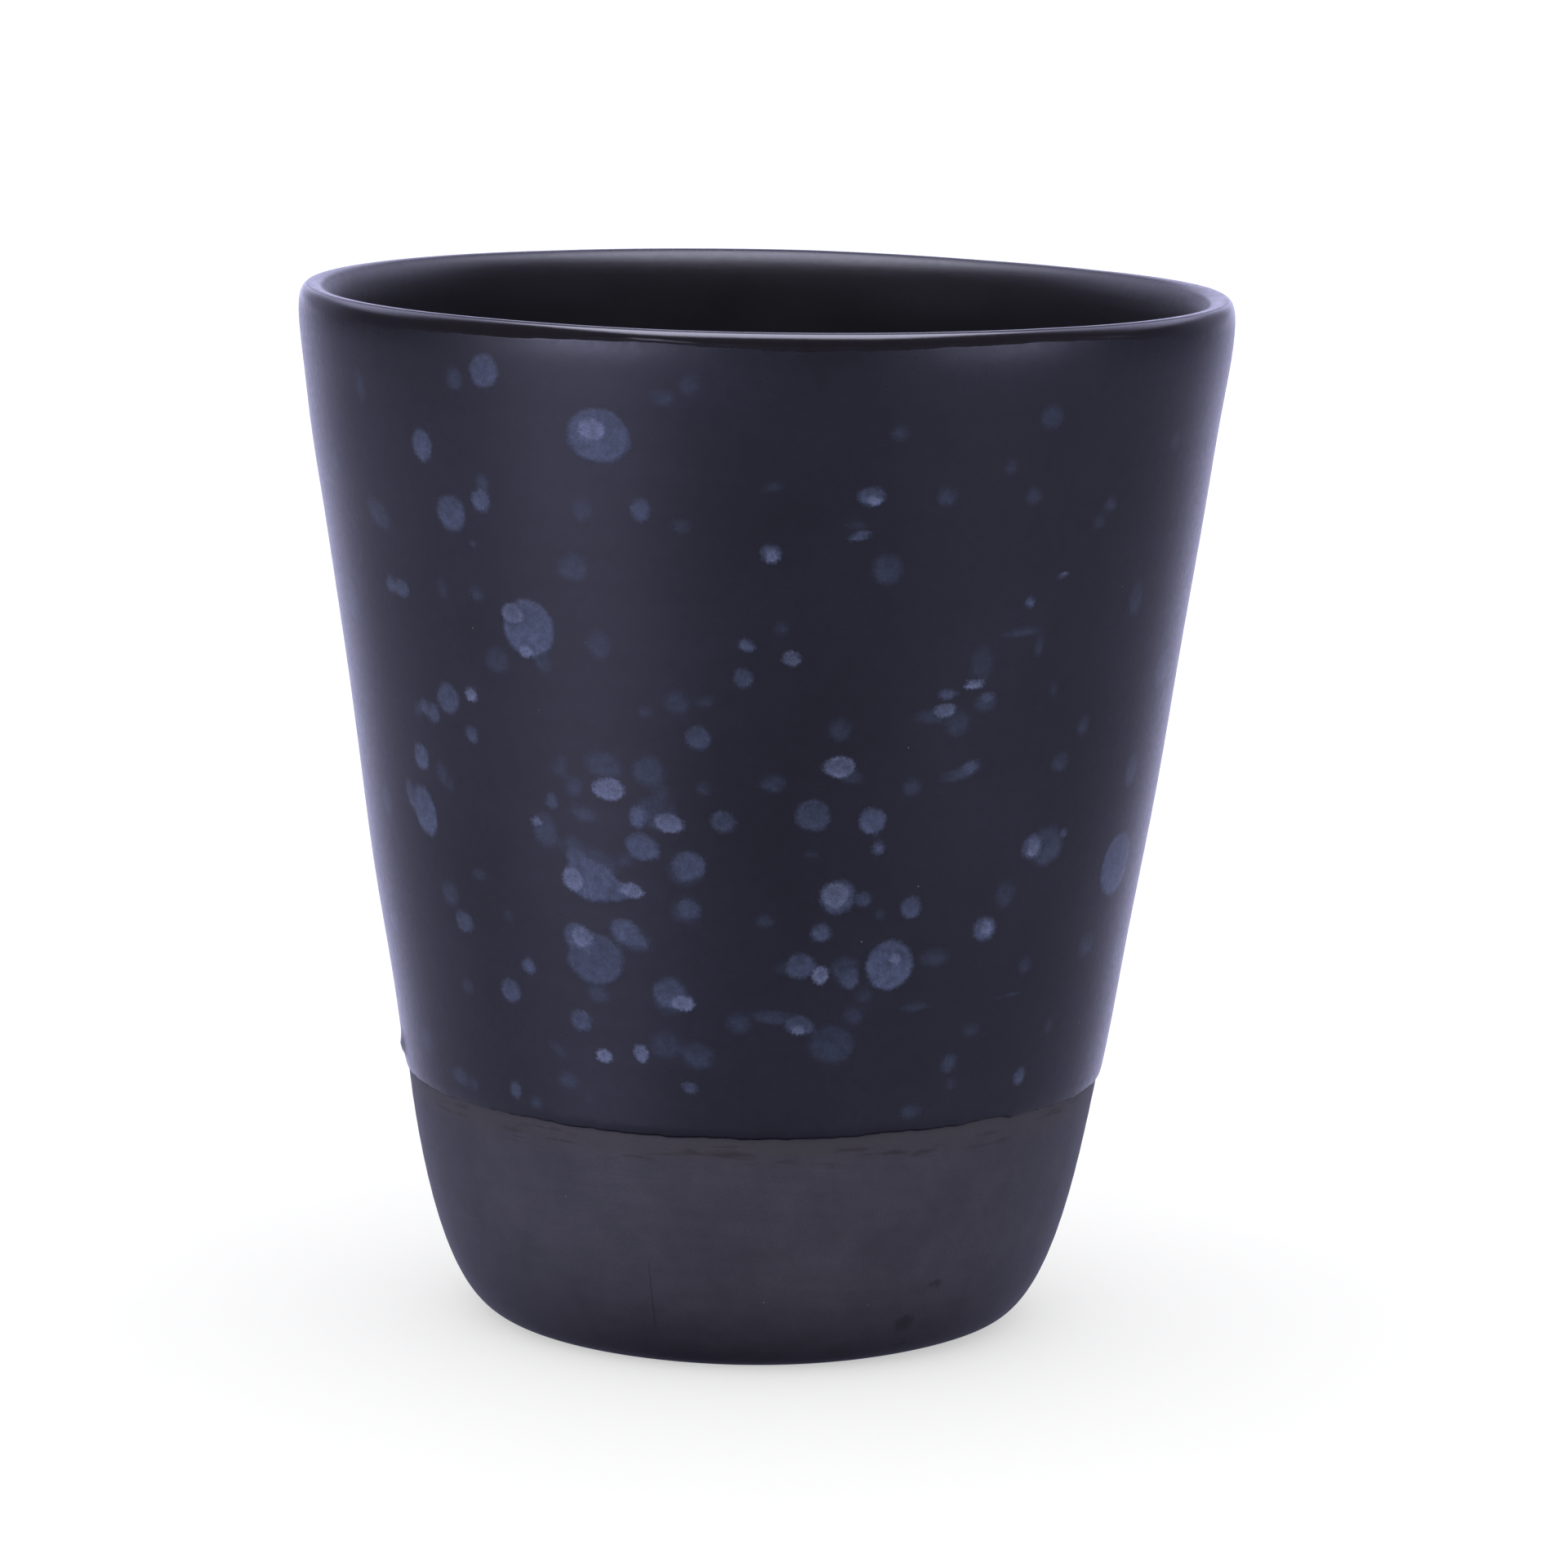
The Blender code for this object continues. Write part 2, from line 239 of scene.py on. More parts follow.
# Marks on the bare foot: (azimuth, height, width, tall)
STAINS = [(31.5, 4.5, 2.6, 2.1), (33, 2.0, 2.2, 0.8), (23.5, 22.4, 4.4, 0.6), (28, 21.9, 2.2, 0.5),
          (42, 23.2, 4.2, 0.5), (36, 8.4, 1.9, 1.2), (-32, 22.3, 6.0, 0.35), (-12, 22.6, 3.5, 0.3),
          (118, 20.5, 3.0, 0.8), (-140, 6.0, 2.2, 1.6), (165, 22.3, 5.0, 0.4)]
HAIRLINE_AZIMUTH = -17.25  # on a column of the clay's mesh
HAIRLINE_LOW = 4.4
HAIRLINE_HIGH = 11.2


# ---------------------------------------------------------------- shape of the mug


def periodic(table, azimuth):
    """Smooth closed curve through (azimuth, value) points, read at an array of azimuths."""
    known = np.array(sorted(table), float)
    places = np.concatenate([known[:, 0] - 360, known[:, 0], known[:, 0] + 360])
    values = np.tile(known[:, 1], 3)
    fine = np.arange(-540.0, 540.0, 0.5)
    line = np.interp(fine, places, values)
    width = 5
    kernel = np.hanning(2 * width + 1)
    line = np.convolve(line, kernel / kernel.sum(), mode="same")
    return np.interp(azimuth, fine, line)


def turn_from(azimuth, centre):
    """Signed angle from centre to azimuth, between -180 and 180 degrees."""
    return (azimuth - centre + 180.0) % 360.0 - 180.0


def swell(azimuth, height):
    """Millimetres that the wall stands out from a true turned shape."""
    out = LOBES * np.cos(np.radians(3 * (azimuth + 50)))
    for centre, middle, amount, half_turn, half_height in SWELLS:
        across = turn_from(azimuth, centre) / half_turn
        along = (height - middle) / half_height
        out = out + amount * np.exp(-(across**2) - along**2)
    return out + WALL_RINGS * np.sin(height * 1.9 + 0.6 * np.sin(np.radians(azimuth + 30)))


def lifted(azimuth, height):
    """Heights after the lip's wander, which fades out down the wall."""
    share = np.clip((height - WANDER_START) / WANDER_REACH, 0.0, 1.0)
    return height + periodic(LIP_WANDER, azimuth) * share * share * (3.0 - 2.0 * share)


def true_radius(height):
    """Outer face of the straight wall, before its swells."""
    extra_slope = (KNEE_RADIUS - GLAZE_LINE_RADIUS) / (KNEE - GLAZE_LINE) - WALL_SLOPE
    below_knee = KNEE_SOFTNESS * np.logaddexp(0.0, (KNEE - height) / KNEE_SOFTNESS)
    return KNEE_RADIUS + WALL_SLOPE * (height - KNEE) - extra_slope * below_knee


def wall_radius(azimuth, height):
    """Outer face of the glazed wall."""
    return true_radius(height) + swell(azimuth, height)


def inside_radius(height):
    """Inner face of the straight wall, before its swells."""
    return KNEE_RADIUS + WALL_SLOPE * (height - KNEE) - WALL_THICKNESS


def bezier(start, first, second, end, t):
    """Points of a cubic curve, one row for each t, and their outward normals."""
    t = np.atleast_1d(t)[:, None]
    corners = [np.array(point, float) for point in (start, first, second, end)]
    sides = [after - before for before, after in zip(corners, corners[1:])]
    points = (1 - t) ** 3 * corners[0] + 3 * (1 - t) ** 2 * t * corners[1]
    points = points + 3 * (1 - t) * t**2 * corners[2] + t**3 * corners[3]
    run = (1 - t) ** 2 * sides[0] + 2 * (1 - t) * t * sides[1] + t**2 * sides[2]
    run = run / np.linalg.norm(run, axis=1, keepdims=True)
    return points, np.stack([-run[:, 1], run[:, 0]], axis=1)


def outer_lip(t, sunk=0.0):
    """(radius, height) from the crest at 0 outwards and down to the straight wall at 1."""
    crest = np.array((CREST_RADIUS, HEIGHT))
    wall_top = np.array((true_radius(LIP_START), LIP_START))
    points, outward = bezier(crest, crest + (LIP_CREST_HANDLE, 0.0), wall_top + LIP_HANDLE * WALL_RUN,
                             wall_top, t)
    return points - sunk * outward


def inner_lip(t, sunk=0.0):
    """(radius, height) from the straight inner wall at 0 up to the crest at 1."""
    crest = np.array((CREST_RADIUS, HEIGHT))
    wall_top = np.array((inside_radius(INNER_LIP_START), INNER_LIP_START))
    points, outward = bezier(wall_top, wall_top + INNER_LIP_HANDLE * WALL_RUN,
                             crest - (INNER_CREST_HANDLE, 0.0), crest, t)
    return points - sunk * outward


def floor_curve(count, sunk=0.0):
    """(radius, height) from the middle of the inside floor out to the foot of its wall."""
    end = np.array((inside_radius(GLAZE_LINE), GLAZE_LINE))
    points, outward = bezier((0.0, FLOOR_HEIGHT), (FLOOR_HANDLE, FLOOR_HEIGHT),
                             end - FLOOR_WALL_HANDLE * WALL_RUN, end,
                             np.linspace(0.0, 1.0, count))
    points = points - sunk * outward
    points[0, 0] = 0.0
    return points


def foot_curve(count):
    """(radius, height) of the bare foot, from the glaze line down to the table."""
    top = np.array((GLAZE_LINE_RADIUS - GLAZE_STEP - GAP * WALL_SLOPE, GLAZE_LINE - GAP))
    base = np.array((BASE_RADIUS, 0.0))
    base_run = np.array((cos(FOOT_BASE_ANGLE), sin(FOOT_BASE_ANGLE)))
    points, _ = bezier(top, top - FOOT_TOP_HANDLE * WALL_RUN, base + FOOT_BASE_HANDLE * base_run,
                       base, np.linspace(0.0, 1.0, count))
    return points


def underside_curve():
    """(radius, height) of the flat ring, its rounded inner edge and the recess, to the axis."""
    ring_middle = 0.5 * (BASE_RADIUS + RING_INNER_RADIUS)
    points = [(r, 0.0) for r in (BASE_RADIUS - 0.5, ring_middle, RING_INNER_RADIUS + 0.6)]
    for turn in np.linspace(0.0, 0.5 * pi, 7):
        rise = RING_ROUNDING - RING_ROUNDING * cos(turn)
        points.append((RING_INNER_RADIUS + 0.3 - 0.5 * sin(turn), rise))
    for turn in np.linspace(0.0, 0.5 * pi, 8):
        rise = RECESS_SIDE + (RECESS_DEPTH - RECESS_SIDE) * sin(turn)
        points.append((RING_INNER_RADIUS - 0.25 - RECESS_CORNER * (1 - cos(turn)), rise))
    for r in (16.0, 14.0, 12.0, 10.0, 8.0, 6.0, 4.0, 2.4, 1.2, 0.5):
        points.append((r, RECESS_DEPTH + RECESS_RINGS * sin(r * 2.3)))
    return points + [(0.0, RECESS_DEPTH)]


def with_teeth(line, azimuth, teeth, seed):
    """A line round the mug with its small ragged teeth."""
    draw = np.random.default_rng(seed)
    for waves, size in teeth:
        line = line + size * np.sin(np.radians(waves * azimuth + draw.uniform(0, 360)))
    return line


def glaze_line(azimuth):
    """Height of the glaze line round the mug."""
    line = GLAZE_LINE + periodic(GLAZE_LINE_WANDER, azimuth)
    return with_teeth(line, azimuth, GLAZE_LINE_TEETH, GLAZE_LINE_SEED)


def wiped_edge(azimuth):
    """Millimetres from the crest down to the edge of the full coat."""
    return with_teeth(periodic(WIPED_EDGE, azimuth), azimuth, WIPED_TEETH, WIPED_SEED)


def wiped_share(azimuth):
    """How crisp the wiped edge is: 1 in front and behind, falling to a soft blend at the sides."""
    aside = np.abs(turn_from(azimuth, WIPED_MIDDLE))
    front = np.clip((CRISP_ENDS[1] - aside) / (CRISP_ENDS[1] - CRISP_ENDS[0]), 0, 1)
    behind = np.clip((aside - CRISP_AGAIN[0]) / (CRISP_AGAIN[1] - CRISP_AGAIN[0]), 0, 1)
    return WIPED_SOFT + (1.0 - WIPED_SOFT) * (front + behind)


def wiped_relief(azimuth, height):
    """The soft ridge where the full coat starts under the wiped lip."""
    past = HEIGHT - height - wiped_edge(azimuth)
    below = np.exp(-np.clip(past, 0, None) / RIDGE_BELOW)
    above = np.clip(1.0 + past / RIDGE_ABOVE, 0, 1)
    ridge = np.where(past > 0, below, above * above * (3.0 - 2.0 * above))
    return WIPED_RIDGE * wiped_share(azimuth) * ridge


def drip(azimuth, height):
    """Millimetres that beads of run glaze stand out of the coat."""
    out = 0.0
    for centre, middle, amount, wide, tall in DRIPS:
        radius = wall_radius(azimuth, height)
        across = np.radians(turn_from(azimuth, centre)) * radius / wide
        along = (height - middle) / tall
        along = np.where(along < 0, along * DRIP_TUCK, along)
        out = out + amount * np.exp(-(across**2) - along**2)
    return out


# ---------------------------------------------------------------- turning the skins

COAT_COLUMNS = 540
CLAY_COLUMNS = 480
LINER_COLUMNS = 360


def columns(count):
    return np.arange(count) * (360.0 / count) - 180.0


def skin(name, radius, height, azimuth, ring, attributes=()):
    """A closed mesh from rows of radius and height in millimetres, one column per azimuth.

    With ring the last row joins the first. Otherwise the first and last rows are points on the
    axis.
    """
    rows, count = radius.shape
    turn = np.radians(azimuth)[None, :]
    grid = np.stack([radius * np.sin(turn), -radius * np.cos(turn), height], axis=-1)
    index = np.arange(rows * count).reshape(rows, count)
    after = np.roll(index, -1, axis=1)
    below = np.roll(index, -1, axis=0)
    below_after = np.roll(after, -1, axis=0)
    first, last = (0, rows) if ring else (1, rows - 2)
    quads = np.stack([index, below, below_after, after], axis=-1)[first:last].reshape(-1, 4)
    points = grid.reshape(-1, 3)
    faces = quads.tolist()
    if not ring:
        first_fan = [(int(index[0, 0]), int(a), int(b)) for a, b in zip(index[1], after[1])]
        last_fan = [(int(a), int(index[-1, 0]), int(b)) for a, b in zip(index[-2], after[-2])]
        faces = first_fan + faces + last_fan
    mesh = bpy.data.meshes.new(name)
    mesh.from_pydata((points * MM).tolist(), [], faces)
    for label, values in attributes:
        flat = np.asarray(values, np.float32)
        if flat.ndim == 3:
            layer = mesh.attributes.new(label, "FLOAT_COLOR", "POINT")
            layer.data.foreach_set("color", flat.reshape(-1))
        else:
            layer = mesh.attributes.new(label, "FLOAT", "POINT")
            layer.data.foreach_set("value", flat.reshape(-1))
    obj = bpy.data.objects.new(name, mesh)
    bpy.context.scene.collection.objects.link(obj)
    if not ring:
        drop_loose(mesh)
    mesh.shade_smooth()
    return obj


def drop_loose(mesh):
    """Removes the axis points that no face uses."""
    work = bmesh.new()
    work.from_mesh(mesh)
    loose = [v for v in work.verts if not v.link_faces]
    bmesh.ops.delete(work, geom=loose, context="VERTS")
    work.to_mesh(mesh)
    work.free()


# ---------------------------------------------------------------- spatters and stains


def unseen_spatters():
    """More spatters of the three strengths, drawn for the side that the lists leave out."""
    draw = np.random.default_rng(UNSEEN_SEED)
    lists = ([], [], [])
    clusters = [(draw.uniform(UNSEEN_FROM, 360 - UNSEEN_FROM), draw.uniform(32, 66))
                for _ in range(UNSEEN_CLUSTERS)]
    while sum(len(drawn) for drawn in lists) < UNSEEN_SPATTERS:
        if draw.random() < 0.45:
            centre = clusters[draw.integers(len(clusters))]
            azimuth = draw.normal(centre[0], 9.0)
            height = draw.normal(centre[1], 7.0)
        else:
            azimuth = draw.uniform(UNSEEN_FROM, 360 - UNSEEN_FROM)
            height = 26.0 + 70.0 * draw.beta(1.1, 1.5)
        size = float(np.clip(draw.lognormal(0.62, 0.42), 0.8, 5.6))
        squash = draw.uniform(0.72, 1.05)
        lean = draw.normal(0.0, 14.0)
        strength = draw.choice(3, p=(0.58, 0.3, 0.12))
        if not UNSEEN_FROM + 4 < azimuth < 356 - UNSEEN_FROM or not 26 < height < 96:
            continue
        if strength == 2:
            size = min(size, 2.6)
        azimuth = azimuth if azimuth < 180 else azimuth - 360
        lists[strength].append((azimuth, height, size, size * squash, lean))
    return lists


def spatter_field(azimuth, height, spatters):
    """For the nearest spatter: millimetres inside its edge, place up its height, and strength."""
    draw = np.random.default_rng(len(spatters))
    radius = wall_radius(azimuth, height)
    inside = np.full(np.broadcast(azimuth, height).shape, FAR_OUTSIDE)
    low = np.zeros(inside.shape)
    strength = np.ones(inside.shape)
    for centre, middle, wide, tall, *more in spatters:
        drawn_strength = draw.uniform(0.8, 1.22)
        lean = more[0] if more else 0.0
        own_strength = more[1] if len(more) > 1 else drawn_strength
        across = np.radians(turn_from(azimuth, centre)) * radius
        along = height - middle
        lean_cos, lean_sin = cos(radians(lean)), sin(radians(lean))
        a = (across * lean_cos + along * lean_sin) / (0.5 * wide)
        b = (along * lean_cos - across * lean_sin) / (0.5 * tall)
        reach = np.sqrt(a**2 + b**2)
        depth = (1.0 - reach) * 0.5 * np.sqrt(wide * tall)
        low = np.where(depth > inside, b, low)
        strength = np.where(depth > inside, own_strength, strength)
        inside = np.maximum(inside, depth)
    return inside, low, strength


def stain_field(azimuth, radius, height):
    """Millimetres inside the edge of the nearest stain."""
    inside = np.full(radius.shape, FAR_OUTSIDE)
    for centre, middle, wide, tall in STAINS:
        across = np.radians(turn_from(azimuth, centre)) * radius / (0.5 * wide)
        along = (height - middle) / (0.5 * tall)
        depth = (1.0 - np.sqrt(across**2 + along**2)) * 0.5 * np.sqrt(wide * tall)
        inside = np.maximum(inside, depth)
    return inside


# ---------------------------------------------------------------- the three skins


class Rows:
    """Rows of a turned skin: one radius and height for each column in every row."""

    def __init__(self, count):
        self.azimuth = columns(count)
        self.radii = []
        self.heights = []

    def add(self, radius, height):
        self.radii.append(np.broadcast_to(radius, self.azimuth.shape).astype(float))
        self.heights.append(np.broadcast_to(height, self.azimuth.shape).astype(float))

    def add_swollen(self, points, relief=None):
        """Adds plain (radius, height) points, moved out by the wall's swells."""
        for radius, height in points:
            out = swell(self.azimuth, height)
            if relief is not None:
                out = out + relief(self.azimuth, height)
            self.add(radius + out, height)

    def grids(self):
        return np.array(self.radii), np.array(self.heights)


def make_outer_coat():
    """Glaze outside, from near the crest of the lip down to the bead on the glaze line."""
    rows = Rows(COAT_COLUMNS)
    azimuth = rows.azimuth
    line = glaze_line(azimuth)

    # the coat's edge near the crest, rounded over, and the lip
    for step, sunk in COAT_ROUNDING:
        rows.add_swollen(outer_lip(COAT_STARTS + step, sunk))
    rows.add_swollen(outer_lip(np.linspace(COAT_STARTS + 0.012, 0.62, 36)), wiped_relief)
    rows.add_swollen(outer_lip(np.linspace(0.65, 1.0, 11)), wiped_relief)
    # the wall, with rows about 0.6 mm apart
    for t in np.linspace(0.0, 1.0, 113)[1:]:
        height = LIP_START + t * (line + EDGE_REACH - LIP_START)
        rows.add(wall_radius(azimuth, height) + drip(azimuth, height), height)
    # the edge, tapered and rolled over on to the clay
    for above in (1.35, 1.05, 0.8, 0.6, 0.44, 0.31, 0.2, 0.12, 0.06, 0.02, 0.0):
        height = line + above
        roll = np.sqrt(max(0.0, 1.0 - (1.0 - min(above / EDGE_ROLL, 1.0)) ** 2))
        step = GLAZE_STEP - COAT_TAPER * np.exp(-((above / TAPER_REACH) ** 2))
        proud = step * roll - GLAZE_STEP
        rows.add(wall_radius(azimuth, height) + proud + drip(azimuth, height) * roll, height)
    # the hidden back, just inside the clay
    for height in (line + 0.1, line + 1.2, 40.0, 44.0, 62.0, 84.0):
        height = np.broadcast_to(height, azimuth.shape)
        rows.add(wall_radius(azimuth, height) - COAT_BACK, height)
    back_of_lip = np.array((0.95, 0.7, 0.5, 0.35, 0.24, COAT_STARTS + 0.01))
    rows.add_swollen(outer_lip(back_of_lip, COAT_BACK))

    radius, height = rows.grids()
    around = np.broadcast_to(azimuth, radius.shape)
    unseen = unseen_spatters()
    faint, clear, bright = (spatter_field(around, height, seen + more)
                            for seen, more in zip((FAINT, CLEAR, BRIGHT), unseen))
    depths = np.stack([faint[0], clear[0], bright[0], np.ones(radius.shape)], axis=-1)
    low, strength = (
        np.where(bright[0] > SPATTER_NEAR, bright[i],
                 np.where(clear[0] > SPATTER_NEAR, clear[i], faint[i])) for i in (1, 2))
    relief = (SPATTER_RELIEF[0] * np.clip(clear[0] / 0.5, 0, 1)
              + SPATTER_RELIEF[1] * np.clip(bright[0] / 0.4, 0, 1))
    under_lip = (HEIGHT - height - wiped_edge(azimuth)[None, :]) * wiped_share(azimuth)[None, :]
    return skin("outer_glaze_coat", radius + relief, lifted(around, height), azimuth, True,
                [("spatter", depths), ("spatter_low", low), ("spatter_strength", strength),
                 ("under_lip", under_lip)])


def make_clay():
    """The clay body: all of its surface, though only the foot and the underside show."""
    rows = Rows(CLAY_COLUMNS)
    azimuth = rows.azimuth

    # hidden under the coats: the inside, the lip and the wall
    for r, z in floor_curve(16, CLAY_UNDER_LINER):
        rows.add(r, z)
    rows.add_swollen([(inside_radius(z) + CLAY_UNDER_LINER, z) for z in (40.0, 60.0, 80.0, 92.0)])
    rows.add_swollen(inner_lip(np.linspace(0.0, 0.95, 9), CLAY_UNDER_LINER))
    rows.add_swollen(outer_lip(np.array((0.0, 0.05, 0.1, 0.15, 0.2)), CLAY_UNDER_LIP))
    rows.add_swollen(outer_lip(np.array((0.3, 0.45, 0.65, 0.85, 1.0)), GLAZE_STEP))
    for height in (84.0, 75.0, 65.0, 55.0, 48.0, 44.0, 38.0, 32.0, 28.0, 26.2, 25.6):
        rows.add(wall_radius(azimuth, np.full(azimuth.shape, height)) - GLAZE_STEP, height)
    first_bare = len(rows.radii)
    # the bare foot, with faint turning rings
    for r, z in foot_curve(78):
        fade = np.clip(z / 8.0, 0.0, 1.0)
        turned = FOOT_RINGS * np.sin(z * 3.1 + 0.8 * np.sin(np.radians(azimuth - 40)))
        rows.add(r + (swell(azimuth, z) * np.clip((z - 10) / 14, 0, 1) + turned) * fade, z)
    for r, z in underside_curve():
        rows.add(r, z)

    radius, height = rows.grids()
    around = np.broadcast_to(azimuth, radius.shape)
    below_line = glaze_line(azimuth)[None, :] - height
    near_base = np.clip(1.0 - height / FOOT_LIFT_REACH, 0.0, 1.0) ** 2
    aside = turn_from(around, FOOT_LIFT_AZIMUTH) / FOOT_LIFT_SPREAD
    height = height + FOOT_LIFT * near_base * np.exp(-(aside**2))
    stain = stain_field(around, radius, height)
    stain[:first_bare] = FAR_OUTSIDE
    across = np.abs(np.radians(turn_from(around, HAIRLINE_AZIMUTH)) * radius)
    past_end = np.maximum(HAIRLINE_LOW - height, height - HAIRLINE_HIGH)
    hairline = np.maximum(across, past_end)
    return skin("clay_body_turned", radius, lifted(around, height), azimuth, False,
                [("below_line", below_line), ("stain", stain), ("hairline", hairline)])


def make_liner():
    """Glaze inside, from the middle of the floor up the wall and over the crest of the lip."""
    rows = Rows(LINER_COLUMNS)
    azimuth = rows.azimuth
    for r, z in floor_curve(60):
        rows.add(r, z + INSIDE_RINGS * np.sin(r * 1.35) * np.clip(r / 6.0, 0, 1))
    for height in np.linspace(GLAZE_LINE, INNER_LIP_START, 62)[1:-1]:
        settle = np.clip((height - GLAZE_LINE) / 12.0, 0, 1)
        turned = INSIDE_RINGS * np.sin(height * 0.9 + 0.7 * np.sin(np.radians(azimuth)))
        turned = turned * np.clip((INNER_LIP_START - height) / 8.0, 0, 1)
        rows.add(inside_radius(height) + (swell(azimuth, height) + turned) * settle, height)
    # the lip, and the liner's edge just outside the crest
    rows.add_swollen(inner_lip(np.linspace(0.0, 1.0, 24)))
    rows.add_swollen(outer_lip(np.array((0.02, 0.04, LINER_STOPS - 0.012))))
    for step, sunk in LINER_ROUNDING:
        rows.add_swollen(outer_lip(LINER_STOPS + step, sunk))
    # the hidden back, just inside the clay
    rows.add_swollen(outer_lip(0.04, LINER_BACK))
    rows.add_swollen(inner_lip(np.array((0.8, 0.5, 0.2, 0.0)), LINER_BACK))
    for height in (80.0, 60.0, 40.0):
        rows.add(inside_radius(height) + LINER_BACK, height)
    for r, z in floor_curve(12, LINER_BACK)[::-1]:
        rows.add(r, z)
    radius, height = rows.grids()
    around = np.broadcast_to(azimuth, radius.shape)
    return skin("inner_glaze_liner", radius, lifted(around, height), azimuth, False)


# ---------------------------------------------------------------- materials

SURFACE_IOR = 1.5
DARK_GLAZE = (0.0105, 0.0100, 0.0185)
LIGHT_GLAZE = (0.0165, 0.0155, 0.0290)
THIN_GLAZE = (0.0125, 0.0097, 0.0132)  # where the wiped lip lets the clay through
DARK_LINER = (0.0050, 0.0041, 0.0062)
LIGHT_LINER = (0.0086, 0.0072, 0.0106)
DARK_CLAY = (0.0590, 0.0550, 0.0780)
LIGHT_CLAY = (0.0770, 0.0720, 0.1000)
HALO_CLAY = (0.0740, 0.0670, 0.0790)  # browner, just under the glaze line
TORN_CLAY = (0.0400, 0.0325, 0.0355)  # where glaze was pulled off under the line
STAIN_TINT = (0.017, 0.0155, 0.0175)
CRACK_TINT = (0.012, 0.011, 0.013)
# The second glaze in faint, clear and bright spatters: (where its edge starts and ends in
# millimetres inside the outline, tone in the middle, cover, dull colour, vivid colour)
SPATTER_PAINT = (
    ((-0.5, 0.55), 1.0, 0.85, (0.026, 0.034, 0.064), (0.039, 0.050, 0.092)),
    ((-0.3, 0.38), 0.93, 0.92, (0.059, 0.075, 0.142), (0.081, 0.100, 0.188)),
    ((-0.22, 0.3), 0.8, 0.92, (0.140, 0.163, 0.290), (0.175, 0.203, 0.365)),
)


class Graph:
    """Short names for the shader nodes that the materials and the world share."""

    def __init__(self, tree):
        self.tree = tree
        tree.nodes.clear()

    def put(self, value, socket):
        if isinstance(value, bpy.types.NodeSocket):
            self.tree.links.new(value, socket)
        else:
            socket.default_value = value

    def scaled(self, vector, factors):
        node = self.tree.nodes.new("ShaderNodeVectorMath")
        node.operation = "MULTIPLY"
        self.put(vector, node.inputs[0])
        node.inputs[1].default_value = factors
        return node.outputs[0]

    def maths(self, operation, a, b=0.0):
        node = self.tree.nodes.new("ShaderNodeMath")
        node.operation = operation
        for value, socket in zip((a, b), node.inputs):
            self.put(value, socket)
        return node.outputs[0]

    def swing(self, pattern, amount):
        """A pattern around a half, turned into one around zero."""
        return self.maths("MULTIPLY", self.maths("SUBTRACT", pattern, 0.5), amount)

    def noise(self, scale, detail=3.0, roughness=0.55, vector=None):
        node = self.tree.nodes.new("ShaderNodeTexNoise")
        self.put(self.place if vector is None else vector, node.inputs["Vector"])
        node.inputs["Scale"].default_value = scale
        node.inputs["Detail"].default_value = detail
        node.inputs["Roughness"].default_value = roughness
        return node.outputs["Fac"]

    def cells(self, scale):
        node = self.tree.nodes.new("ShaderNodeTexVoronoi")
        self.put(self.place, node.inputs["Vector"])
        node.inputs["Scale"].default_value = scale
        return node.outputs["Distance"]

    def attribute(self, name, output="Fac"):
        node = self.tree.nodes.new("ShaderNodeAttribute")
        node.attribute_name = name
        return node.outputs[output]

    def split(self, colour):
        node = self.tree.nodes.new("ShaderNodeSeparateColor")
        self.put(colour, node.inputs[0])
        return node.outputs[0], node.outputs[1], node.outputs[2]

    def ramp(self, value, low, high, to_low=0.0, to_high=1.0, smooth=True):
        node = self.tree.nodes.new("ShaderNodeMapRange")
        node.interpolation_type = "SMOOTHSTEP" if smooth else "LINEAR"
        for item, socket in zip((value, low, high, to_low, to_high), node.inputs):
            self.put(item, socket)
        return node.outputs[0]

    def mix(self, factor, first, second):
        node = self.tree.nodes.new("ShaderNodeMix")
        node.data_type = "RGBA"
        self.put(factor, node.inputs["Factor"])
        for value, socket in ((first, node.inputs[6]), (second, node.inputs[7])):
            self.put((*value, 1.0) if isinstance(value, tuple) else value, socket)
        return node.outputs[2]

    def gain(self, colour, factor):
        node = self.tree.nodes.new("ShaderNodeVectorMath")
        node.operation = "SCALE"
        self.put(colour, node.inputs[0])
        self.put(factor, node.inputs["Scale"])
        return node.outputs[0]

    def mottled(self, colour, pattern, dark, light):
        """The colour made darker and lighter by a pattern around a half."""
        return self.gain(colour, self.ramp(pattern, 0.3, 0.7, dark, light))

    def specks(self, colour, scale, size, share, tint):
        """Scattered dots, one to a cell, with size as where a dot's edge begins and ends."""
        dots = self.ramp(self.cells(scale), *size, 1.0, 0.0)
        return self.mix(self.maths("MULTIPLY", dots, share), colour, tint)

    def bump(self, height, distance, normal=None):
        node = self.tree.nodes.new("ShaderNodeBump")
        node.inputs["Distance"].default_value = distance * MM
        node.inputs["Strength"].default_value = 1.0
        self.put(height, node.inputs["Height"])
        if normal is not None:
            self.put(normal, node.inputs["Normal"])
        return node.outputs[0]


